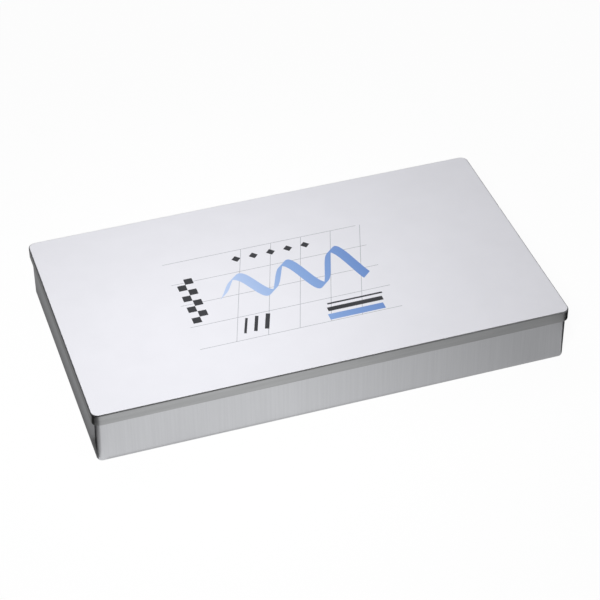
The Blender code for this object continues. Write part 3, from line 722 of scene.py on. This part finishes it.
# Ink feed: a black moulded rod whose fins hold spare ink under the nib.  A channel along its top
# takes the ink from the cartridge to the slit.
FIN_PITCH = 1.4
FIN_DEPTH = 0.6
FINS_START, FINS_END = 37.0, 44.0
FIN_ROWS = 71
FIN_RADIUS = 2.4
STEM_TIP, STEM_END, STEM_RADIUS = -5.8, 10.3, 1.2
FEED_RADIUS = 2.7
NOSE = [(46.0, 2.1), (48.0, 1.5), (50.4, 0.6), (50.4, 0)]
CHANNEL_START, CHANNEL_DEPTH, CHANNEL_HALF = 34.9, 0.35, 0.5
FEED_BLACKS = ("#121214", "#1B1B1E")
feed_abs = moulded_plastic("abs_feed_black", FEED_BLACKS, 0.2, 0.02, 0.38)
feed_profile = np.vstack([
    stepped([STEM_TIP, STEM_END, LIP_END], [0, STEM_RADIUS, FEED_RADIUS, FIN_RADIUS]),
    np.linspace((FINS_START, FIN_RADIUS), (FINS_END, FIN_RADIUS), FIN_ROWS), NOSE])


def fins_and_channel(x, y, z, radius):
    """Depth of the gaps between the fins and of the channel.

    A gap is the first half of each pitch, and fades out towards the top.  The channel is a V along the
    top, whose depth falls in a straight line with y to its half width.
    """
    comb = (x - FINS_START) / FIN_PITCH % 1 < 0.5
    below = np.clip((0.5 - z / radius) * 4, 0, 1)
    in_fins = (x > FINS_START) & (x < FINS_END) & (radius > 2)
    channel = CHANNEL_DEPTH * np.clip(1 - np.abs(y) / CHANNEL_HALF, 0, 1)
    return FIN_DEPTH * comb * below * in_fins + channel * (z > 0) * (x > CHANNEL_START) * (radius > 0.6)


add_turned("feed_comb", feed_profile, pen, feed_abs, "pen", "ink_feed",
           easing=0.15, margin=0.1, steps=48, carving=fins_and_channel)

# Fitted cartridge: the same polypropylene tube as the spares, full of the same ink.  It is pushed on
# to the feed's stem, which pierces its seal.
PIERCED_RADIUS = 1.7
STEM_STOP = 1.0
fitted_low, fitted_high = box_mm("fitted_cartridge")
fitted_shoulder = (fitted_high[0] - CARTRIDGE_NECK, *pen[1:])
fitted_plastic = ink_filled_plastic("polypropylene_blue_ink_fitted", fitted_shoulder[0])
fitted_profile = cartridge_profile((fitted_high - fitted_low)[0], PIERCED_RADIUS, STEM_STOP)
add_turned("cartridge_tube_fitted", fitted_profile, fitted_shoulder, fitted_plastic, "pen",
           "fitted_cartridge", easing=0.5)

# Fitted nib: the middle of the three widths, rolled from the same stainless sheet as the spares.  It
# is pushed on to the feed.
HEEL_X = 34.9
add_nib("nib_medium_fitted", "medium", pen + (HEEL_X, 0, 0), "fitted_nib")

# Cap: a moulded ABS tube, polished black like the barrel, with a fine groove near its mouth.  Its
# crown is pierced for the finial's stem.
CAP_MOUTH, CROWN_UNDERSIDE, CAP_END = 2.6, 62.6, 64.6
CAP_RADIUS, CAP_BORE, CROWN_BORE = 6.7, 5.8, 3.0
CAP_GROOVE = [(5.0, CAP_RADIUS), (5.15, 6.5), (5.65, 6.5), (5.8, CAP_RADIUS)]
CAP_WAIST, CROWN_RADIUS = (40.0, 6.58), 6.4
cap_profile = np.vstack([
    [(CAP_MOUTH, CAP_BORE), (CAP_MOUTH, CAP_RADIUS), *CAP_GROOVE, CAP_WAIST],
    stepped([CAP_END, CROWN_UNDERSIDE], [CROWN_RADIUS, CROWN_BORE, CAP_BORE])])
add_turned("cap_tube", cap_profile, pen, black_abs, "cap", "pen_cap", easing=0.4)

# Inner cap: a liner of natural polypropylene pressed into the cap.  It closes on the grip's lip, so
# that the nib doesn't dry.
LINER_MOUTH, LINER_FLOOR, LINER_END = 34.9, 61.1, 62.3
LINER_RADIUS, LINER_BORE = 5.5, 4.4
LINER_WHITES = ("#C9C9C4", "#D9D9D5")
natural_plastic = moulded_plastic("polypropylene_natural", LINER_WHITES, 0.4, 0.02, 0.42)
liner_profile = stepped([LINER_END, LINER_MOUTH, LINER_FLOOR], [0, LINER_RADIUS, LINER_BORE, 0])
add_turned("cap_liner", liner_profile, pen, natural_plastic, "cap", "inner_cap", easing=0.25)

# Finial: a domed button of plated brass.  Its stem passes through the clip's washer and the crown
# of the cap, and holds them together.
STEM_OF_FINIAL, BUTTON_RADIUS = 2.7, 5.2
BUTTON_START, BUTTON_END = 65.8, 67.6
DOME_CENTRE, DOME_RADIUS = (66.6, 4.2), 1.0
finial_profile = np.vstack([
    stepped([CROWN_UNDERSIDE, BUTTON_START], [0, STEM_OF_FINIAL, BUTTON_RADIUS]),
    arc(DOME_CENTRE, DOME_RADIUS, 90, 20, 6), [(BUTTON_END, 2.0), (BUTTON_END, 0)]])
add_turned("finial_button", finial_profile, pen, plated_brass, "cap", "cap_finial")

# Clip: an arm of sprung steel strip, bent at the crown and curled into a foot at its free end, and
# welded to the washer that the finial holds down.
CLIP_STRIP = 0.6
CLIP_CORNER = 0.12
CLIP_WIDTH = 3.2
CLIP_TIP_WIDTH, CLIP_FULL_X = 2.4, 50
CLIP_BENDS = [(65.2, 4.7), (65.2, 8.4), (29.6, 8.3), (27.0, 7.25), (25.8, 8.2)]
CLIP_BEND_EASING = 1.4
WASHER_ENDS, WASHER_BORE, WASHER_RADIUS = [64.9, 65.5], 3.0, 5.0
CLIP_GREYS = ("#BDBEC1", "#D2D3D6")
clip_steel = polished_steel("spring_steel_plated", (7, 0.2, 0.2), CLIP_GREYS, 0.12)


def strip_along(line, width, thickness, corner):
    """A bent strip: its rounded rectangle section is carried along a line in the XZ plane.

    A point is the line's point, plus the section's height along the line's normal (-dz, dx), with the
    section's width along Y.
    """
    before, after = neighbours(line, False)
    along = (after - before) / np.linalg.norm(after - before, axis=1, keepdims=True)
    side, up = rounded_rings(1.0, thickness, corner, 0.0, 3)[0, :, :2].T
    x = line[:, :1] - along[:, 1:] * up
    z = line[:, 1:] + along[:, :1] * up
    return np.stack([x, width[:, None] * side, z], 2)


clip_line = supported(softened(CLIP_BENDS, CLIP_BEND_EASING, steps=12), 1.0)
clip_width = np.interp(clip_line[:, 0], [CLIP_BENDS[-1][0], CLIP_FULL_X], [CLIP_TIP_WIDTH, CLIP_WIDTH])
strip = strip_along(clip_line, clip_width, CLIP_STRIP, CLIP_CORNER) + pen
add_piece("clip_arm", strip, capped(strip), [clip_steel], "cap", ["pocket_clip"])
washer_profile = stepped(WASHER_ENDS, [WASHER_BORE, WASHER_RADIUS, WASHER_BORE])
add_turned("clip_washer", washer_profile, pen, clip_steel, "cap", "pocket_clip", easing=0.1)

# Lid shell: a second sheet of tinplate, brushed along its length and drawn into a slip lid.  The
# skirt's edge is rolled inwards to a hem.
LID_CORNER = 3.4
LID_INSIDE_CORNER = 1.5
LID_EDGE = 0.6
LID_FLAT_START = 1.9
HEM_ROLL = 0.75
COAT_ROOM = 0.04
COAT_TURN, BARE_TURN = 90 + 14, 90 + 16
# Painted shade: the skirt's greys are darker than the base's, standing for the dark surroundings that its
# lengthwise brushing mirrors.
SKIRT_SHADED_GREYS = ("#A4A5A6", "#B3B4B5")

lengthwise_shaded_tinplate = brushed_tinplate("tinplate_brushed_lengthwise", (9, 0.2, 1), (30, 2, 1), SKIRT_SHADED_GREYS, 0.36)
lid_low, lid_high = box_mm("tin_lid")
lid_length, lid_width, _ = lid_high - lid_low
lid_top = lid_high[2]
bend = (LID_EDGE, lid_top - LID_EDGE)
hem = HEM_ROLL / 2
shell = supported(np.vstack([
    [(LID_FLAT_START, lid_top - COAT_ROOM)], arc(bend, LID_EDGE - COAT_ROOM, 90, COAT_TURN, 6),
    arc(bend, LID_EDGE, BARE_TURN, 180, 6),
    arc((hem, lid_low[2] + hem), hem, 180, 180 + roll_turn(hem), 24),
    arc(bend, LID_EDGE - SHEET, 180, 90, 8), [(LID_FLAT_START, lid_top - SHEET)]]), EDGE_MARGIN)
shell = np.column_stack([shell, np.maximum(LID_CORNER - shell[:, 0], LID_INSIDE_CORNER)])
add_drawn_sheet("lid_shell", shell, lid_length, lid_width, lengthwise_shaded_tinplate, "lid", "tin_lid")

# Lid coat: a satin, pearl grey lacquer roller coated on the sheet before it is drawn, with a litho
# print of pen practice: ruled lines, a wave written with a broad nib, a ladder of nib widths, sample
# strokes, bars and dots.  It is drawn 0.03 mm thick, where the real film is a hundredth.
COAT = 0.03
COAT_FLAT_START = 1.2
COAT_GREYS = ("#E3E3E9", "#E6E6EC")
RULE_GREYS = ("#9A9DA3", "#A6A9AF")
WRITING_BLUES = ("#B9CCEC", "#88A8DA", "#6C8FCB")
STROKE_CHARCOALS = ("#2B2C30", "#37383D")
RULE_START, RULE_END = -52.0, 38.0
RULE_HEIGHTS, RULE_WIDTH = np.arange(-34, 27, 15.0), 0.25
SLANT_PLACES, SLANT_LEAN, SLANT_WIDTH = np.arange(-36, 24, 14.0), 20, 0.2
WAVE_ENDS, WAVE_SWINGS, WAVE_POINTS = (-33, 31), (6, 13), 260
WAVE_LENGTH, WAVE_PHASE, WAVE_HEIGHT = 23, 0.9, 1
WRITING_WIDTH, WRITING_ANGLE, WRITING_GRADED = 5.4, 42, (-33, 32)
LADDER_LEFT, LADDER_FOOT, LADDER_CELL, LADDER_RUNGS = -49.9, -15.1, 3.8, 8
STROKE_PLACES = np.array([-31, -26.4, -21.4])
STROKE_FOOT, STROKE_TOP, STROKE_LEAN = -30, -20.5, 3.4
BAR_LENGTH, BAR_STARTS = 25, np.array([8.0, 7.0, 6.0])
BAR_HEIGHTS, BAR_WIDTHS = [-22.6, -26.2, -31.2], [1.0, 2.6, 3.8]
DOT_PLACES, DOT_HEIGHT, DOT_SIDE = np.arange(-20, 13, 8.0), 20, 3.0


def satin_print(name, colours, graded_mm=None):
    """Satin lacquer or ink on tinplate, roller coated and stoved.

    A slight orange peel 1.2 mm across softens what it mirrors.  Where a grading is given, the colours
    change along X from its first place to its second in millimetres, as in a graded print.
    """
    material, tree = new_material(name)
    place = add_node(tree, "TexCoord").outputs["Object"]
    mottle, peel = (pattern(tree, "TexNoise", place, size, {"Detail": detail})
                    for size, detail in ((14, 5.0), (1.2, 2.0)))
    factor = mottle
    if graded_mm:
        factor = add_node(tree, "MapRange", {
            "Value": add_node(tree, "SeparateXYZ", {"Vector": place}).outputs["X"],
            "From Min": graded_mm[0] / 1000, "From Max": graded_mm[1] / 1000, "To Min": 0.3, "To Max": 0.7})
    colour = add_node(tree, "ValToRGB", {"Fac": factor}, color_ramp=stops(colours))
    return surfaced(material, colour, mottle, (0.405, 0.435), peel, 0.15, 0.02, {"Metallic": 0.25})


def ruled(start, end, width):
    """Bars of a width between points, each the four points half the width to either side.

    Both ends are an x and a y, and these and the width are numbers or rows of them.
    """
    starts, ends = (np.stack(np.broadcast_arrays(x, y), 1) for x, y in (start, end))
    along = (ends - starts) / np.linalg.norm(ends - starts, axis=1, keepdims=True)
    side = np.stack([-along[:, 1], along[:, 0]], 1) * np.reshape(width, (-1, 1)) / 2
    return np.stack([starts - side, ends - side, ends + side, starts + side], 1)


def written(line, pen_width, pen_angle):
    """A stroke of a broad nib held at one angle.

    Between two points of the line the nib's edge sweeps the parallelogram of the line's step and the
    pen's width, turned the right way round.
    """
    edge = pen_width / 2 * np.array([math.cos(math.radians(pen_angle)), math.sin(math.radians(pen_angle))])
    start, end = line[:-1], line[1:]
    cells = np.stack([start - edge, end - edge, end + edge, start + edge], 1)
    step = end - start
    turned_over = step[:, 0] * edge[1] - step[:, 1] * edge[0] < 0
    cells[turned_over] = cells[turned_over][:, ::-1]
    return cells


rules = ruled((RULE_START, RULE_HEIGHTS), (RULE_END, RULE_HEIGHTS), RULE_WIDTH)
foot, head = RULE_HEIGHTS[[0, -1]]
slants = ruled((SLANT_PLACES, foot), (SLANT_PLACES + SLANT_LEAN, head), SLANT_WIDTH)
wave_x = np.linspace(*WAVE_ENDS, WAVE_POINTS)
swing = np.interp(wave_x, WAVE_ENDS, WAVE_SWINGS)
wave_y = WAVE_HEIGHT + swing * np.sin((wave_x - WAVE_ENDS[0]) * 2 * np.pi / WAVE_LENGTH - WAVE_PHASE)
wave = written(np.column_stack([wave_x, wave_y]), WRITING_WIDTH, WRITING_ANGLE)
rungs = np.arange(LADDER_RUNGS)
left, height = LADDER_LEFT + LADDER_CELL * (rungs % 2), LADDER_FOOT + LADDER_CELL * rungs
ladder = ruled((left, height), (left + LADDER_CELL, height), LADDER_CELL)
strokes = ruled((STROKE_PLACES, STROKE_FOOT), (STROKE_PLACES + STROKE_LEAN, STROKE_TOP),
                list(TIP_WIDTHS.values()))
bars = ruled((BAR_STARTS, BAR_HEIGHTS), (BAR_STARTS + BAR_LENGTH, BAR_HEIGHTS), BAR_WIDTHS)
reach = DOT_SIDE / 2 / math.sqrt(2)
dots = ruled((DOT_PLACES - reach, DOT_HEIGHT - reach), (DOT_PLACES + reach, DOT_HEIGHT + reach), DOT_SIDE)
inks = [(rules, 1), (slants, 1), (wave, 2), (bars[2:], 2)]
inks += [(ladder, 3), (strokes, 3), (bars[:2], 3), (dots, 3)]
film = np.vstack([[(COAT_FLAT_START, lid_top)], arc(bend, LID_EDGE, 90, COAT_TURN, 8),
                  arc(bend, LID_EDGE - COAT, COAT_TURN, 90, 8), [(COAT_FLAT_START, lid_top - COAT)]])
inset, height = film.T
coat = rounded_rings(lid_length - 2 * inset, lid_width - 2 * inset, LID_CORNER - inset, height)
loops = [coat[0, :, :2]] + [shape for shapes, _ in inks for shape in shapes]
ink_of_loop = [0] + [ink for shapes, ink in inks for _ in shapes]
top, triangles, inside_loops = filled(loops, lid_top, lambda loops_in: 0 in loops_in)
coat_faces = capped(coat, both_ends=False)
face_inks = [0] * len(coat_faces) + [ink_of_loop[max(loops_in)] for loops_in in inside_loops]
coat_faces += [[corner + coat[..., 0].size for corner in triangle] for triangle in triangles]
coat_materials = [
    satin_print("lacquer_satin_pearl_grey", COAT_GREYS),
    satin_print("litho_ink_rule_grey", RULE_GREYS),
    satin_print("litho_ink_graded_blue", WRITING_BLUES, WRITING_GRADED),
    satin_print("litho_ink_charcoal", STROKE_CHARCOALS),
]
add_piece("lid_coat", np.vstack([coat.reshape(-1, 3), top]), coat_faces, coat_materials, "lid",
          ["tin_lid"], face_materials=face_inks)

# Floor and light: the tin stands on a white table.  A large soft lamp at the front left lights it and
# a spotlight adds a soft pool, a bright card leans behind it and a dimmer one hangs at the front right.
# Cards beside it, seen only by its metal, are painted reflections of shade and light on its corners,
# and the table as its metal mirrors it is painted to dim to the right.
FLOOR_SIZE = 4.0
TABLE_WHITE = 0.9
TABLE_SHOWN_WHITE = 0.93
TABLE_MIRRORED = 0.94
TABLE_DIMMED = 0.51
DIMMED_FROM, DIMMED_TO = -0.02, 0.09
CARD_HEIGHT = 0.0004
BACK_BRIGHTNESS, FRONT_BRIGHTNESS = 1.2, 0.6
LAMP_AIM = (-0.045, -0.025, 0.026)
LAMP_DISTANCE = 3.0


def laid_flat(name, corners, height):
    """A flat staged sheet on the table, facing up."""
    mesh = bpy.data.meshes.new(name)
    mesh.from_pydata([(x, y, height) for x, y in corners], [], [range(len(corners))])
    sheet = bpy.data.objects.new(name, mesh)
    bpy.context.scene.collection.objects.link(sheet)
    return sheet


half = FLOOR_SIZE / 2
table = laid_flat("white_table", [(-half, -half), (half, -half), (half, half), (-half, half)], 0)
white, tree = new_material("white_laminate")
seen = add_node(tree, "LightPath").outputs
place = add_node(tree, "TexCoord").outputs["Object"]
axes = add_node(tree, "SeparateXYZ", {"Vector": place}).outputs
# Painted shade in reflections: to glossy rays the table glows less towards +X, from TABLE_MIRRORED down to
# TABLE_DIMMED.
dimmed = add_node(tree, "MapRange", {
    "Value": axes["X"], "From Min": DIMMED_FROM, "From Max": DIMMED_TO,
    "To Min": TABLE_MIRRORED, "To Max": TABLE_DIMMED})
level = add_node(tree, "Math", {0: seen["Is Camera Ray"], 1: dimmed}, operation="MAXIMUM")
paper = add_node(tree, "BsdfDiffuse", {"Color": (TABLE_WHITE, TABLE_WHITE, TABLE_WHITE, 1)})
glow = add_node(tree, "Emission", {"Color": (1, 1, 1, 1), "Strength": level})
mirrored = add_node(tree, "Math", {
    0: seen["Is Glossy Ray"], 1: seen["Is Transmission Ray"]}, operation="MAXIMUM")
share = add_node(tree, "Math", {
    0: seen["Is Camera Ray"], 1: TABLE_SHOWN_WHITE, 2: mirrored}, operation="MULTIPLY_ADD")
mixed = add_node(tree, "MixShader", {0: share, 1: paper, 2: glow})
add_node(tree, "OutputMaterial", {"Surface": mixed})
table.data.materials.append(white)

# Each card's brightness and its corners in mm.  They fan out from the tin's front corners, and each is a
# painted reflection: a glowing sheet that only the metal mirrors, standing for shade or light there.
left_corner = (-105.2, -59.5)
right_corner = (105.2, -59.5)
cards = [
    ("black_left", 0.0, [
        (-108.5, -59.2), (-108.5, -45), (-130, -45), (-130, 400), (-400, 400), (-400, -33.7)]),
    ("near_left", 0.13, [left_corner, (-105.2, -45), (-108.5, -45), (-108.5, -59.2)]),
    ("grey_left", 0.4, [(-108, -45), (-108, 400), (-130, 400), (-130, -45)]),
    ("dark_left", 0.2, [
        (-104.1, -58.5), (-104.1, 400), (-108, 400), (-108, -45), (-105.2, -45), (-105.2, -58.5)]),
    ("near_dark_front", 0.3, [left_corner, (-125, -57.8), (-125, -68.7)]),
    ("dark_front", 0.0, [(-125, -57.8), (-400, -33.7), (-400, -197), (-125, -68.7)]),
    ("near_grey_front", 0.45, [left_corner, (-125.1, -68.8), (-119.6, -76.1), (-114.5, -79.4)]),
    ("grey_front", 0.0, [
        (-125.1, -68.8), (-400, -197), (-400, -400), (-264, -400), (-114.5, -79.4), (-119.6, -76.1)]),
    ("near_pale_front", 0.5, [left_corner, (-114.5, -79.4), (-106, -81.5)]),
    ("pale_front", 0.2, [(-114.5, -79.4), (-264, -400), (-117.1, -400), (-106, -81.5)]),
    ("paler_front", 0.75, [left_corner, (-117.1, -400), (-69.4, -400)]),
    # A painted contact shadow: a grey strip along the front foot that only the wall's reflection shows.
    ("grey_edge", 0.55, [(-100, -60.4), (100, -60.4), (100, -59.7), (-100, -59.7)]),
    ("black_right", 0.0, [
        (104.1, -58.5), (122, -71.5), (116, -80), (116, -110),
        (165, -110), (165, -25), (135, -25), (104.1, -44)]),
    ("grey_right", 0.45, [
        (104.1, -44), (135, -25), (165, -25), (165, -110), (400, -110), (400, 400), (104.1, 400)]),
    ("pale_right", 0.8, [right_corner, (115.2, -76.8), (121.5, -71.5)]),
]
for name, brightness, corners in cards:
    laid = laid_flat(name, [(x / 1000, y / 1000) for x, y in corners], CARD_HEIGHT)
    laid.visible_camera = laid.visible_diffuse = laid.visible_shadow = False
    painted_reflection, tree = new_material(f"felt_{name}")
    shine = add_node(tree, "Emission", {"Color": (1, 1, 1, 1), "Strength": brightness})
    add_node(tree, "OutputMaterial", {"Surface": shine})
    laid.data.materials.append(painted_reflection)

world = bpy.data.worlds.new("studio")
world.use_nodes = True
bpy.context.scene.world = world
tree = world.node_tree
tree.nodes.clear()
seen = add_node(tree, "LightPath").outputs
direction = add_node(tree, "TexCoord").outputs["Generated"]


def hung_card(towards, spread):
    """How much a soft card hung in a direction shows: the cosine of the angle to it, to a power."""
    cosine = add_node(tree, "VectorMath", {
        0: direction, 1: Vector(towards).normalized()}, operation="DOT_PRODUCT").outputs["Value"]
    facing = add_node(tree, "Math", {0: cosine, 1: 0.0}, operation="MAXIMUM")
    return add_node(tree, "Math", {0: facing, 1: spread}, operation="POWER")


axes = add_node(tree, "SeparateXYZ", {"Vector": direction}).outputs
above = add_node(tree, "MapRange", {
    "Value": axes["Z"], "From Min": 0.2, "From Max": 0.56}, interpolation_type="SMOOTHSTEP")
behind = add_node(tree, "Math", {
    0: hung_card(towards=(-0.1, 0.7, 0.7), spread=8.0), 1: above}, operation="MULTIPLY")
room = add_node(tree, "MapRange", {
    "Value": axes["X"], "From Min": -0.6, "From Max": 0.4, "To Min": 0.02, "To Max": 0.12})
front_card = hung_card(towards=(0.45, -0.45, 0.75), spread=16.0)
fronted = add_node(tree, "Math", {0: front_card, 1: FRONT_BRIGHTNESS, 2: room}, operation="MULTIPLY_ADD")
level = add_node(tree, "Math", {0: behind, 1: BACK_BRIGHTNESS, 2: fronted}, operation="MULTIPLY_ADD")
strength = add_node(tree, "Math", {0: level, 1: seen["Is Camera Ray"]}, operation="MAXIMUM")
sky = add_node(tree, "Background", {"Color": (1, 1, 1, 1), "Strength": strength})
add_node(tree, "OutputWorld", {"Surface": sky})


def hung_lamp(name, kind, power, round_left, up):
    """A lamp aimed at the tin from a distance, turned left from the front and up by angles in degrees.

    Its direction is (-cos up sin left, -cos up cos left, sin up).
    """
    left, up = math.radians(round_left), math.radians(up)
    away = Vector((-math.cos(up) * math.sin(left), -math.cos(up) * math.cos(left), math.sin(up)))
    data = bpy.data.lights.new(name, kind)
    data.energy = power
    hung = bpy.data.objects.new(name, data)
    hung.location = Vector(LAMP_AIM) + LAMP_DISTANCE * away
    hung.rotation_euler = away.to_track_quat("Z", "Y").to_euler()
    hung.visible_glossy = hung.visible_camera = False
    bpy.context.scene.collection.objects.link(hung)
    return data


soft_lamp = hung_lamp("soft_lamp", "AREA", power=69.5, round_left=30, up=45)
soft_lamp.shape = "DISK"
soft_lamp.size = 1.0
pool_lamp = hung_lamp("pool_lamp", "SPOT", power=230.0, round_left=40, up=60)
pool_lamp.spot_size = math.radians(6)
pool_lamp.spot_blend = 1.0
pool_lamp.shadow_soft_size = 0.1

camera_data = bpy.data.cameras.new("camera")
camera_data.sensor_width = 36.0
camera_data.lens = 121.323
camera = bpy.data.objects.new("camera", camera_data)
camera.location = (-0.21009, -0.657554, 0.575593)
camera.rotation_euler = [math.radians(angle) for angle in (50.8076, 0.4259, -18.3074)]
bpy.context.scene.collection.objects.link(camera)
bpy.context.scene.camera = camera
bpy.context.scene.view_settings.view_transform = "Standard"
